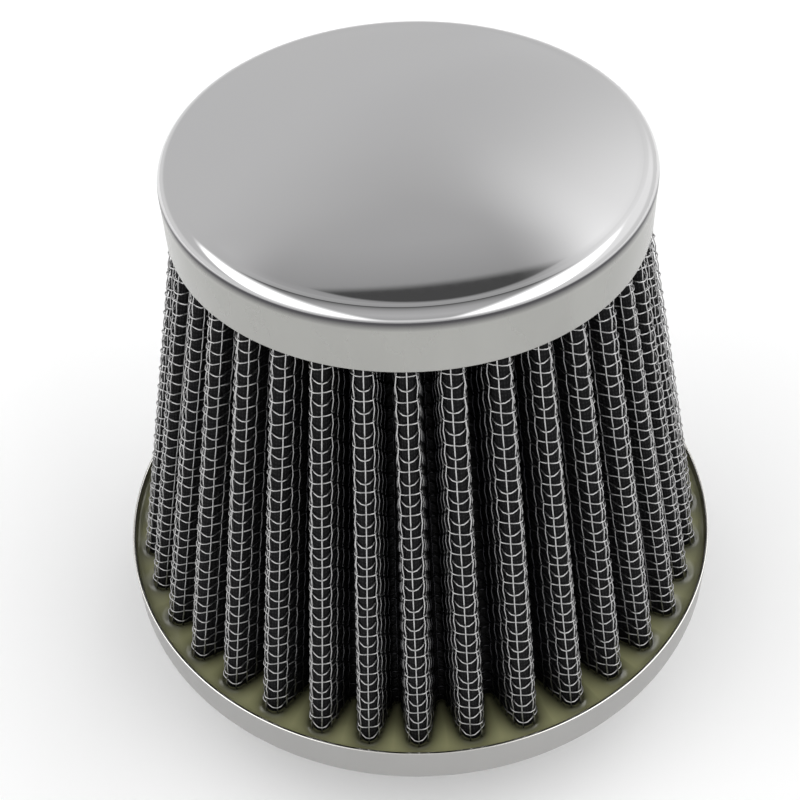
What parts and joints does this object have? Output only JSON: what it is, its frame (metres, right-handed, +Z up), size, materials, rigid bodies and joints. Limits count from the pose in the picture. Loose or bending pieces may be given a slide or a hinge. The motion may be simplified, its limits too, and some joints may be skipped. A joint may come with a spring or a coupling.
{
  "type": "cone air filter",
  "caption": "Conical air filter: pleated black gauze under woven wire, potted in green resin between a polished steel cap and a steel base pan with a rubber inlet neck.",
  "frame": {"origin": "centre of the inlet mouth, at the lower end of the neck, on which the filter stands", "axes": "+Z up the axis of the cone, from the inlet to the cap; +X and +Y each point at a pleat's crest"},
  "size_m": [0.15, 0.15, 0.1472],
  "materials": {
    "polished_steel": "polished pressed steel",
    "satin_steel": "satin pressed steel",
    "wire": "woven wire cloth, satin",
    "gauze": "oiled cotton gauze, black",
    "resin": "cast resin, olive green, glossy",
    "rubber": "moulded rubber, black, matt"
  },
  "bodies": {
    "root": {"top_cap": "polished_steel", "top_potting": "resin", "outer_screen": "wire", "filter_media": "gauze", "inner_screen": "wire", "base_pan": "satin_steel", "base_potting": "resin", "neck_sleeve": "rubber"}
  },
  "joints": []
}
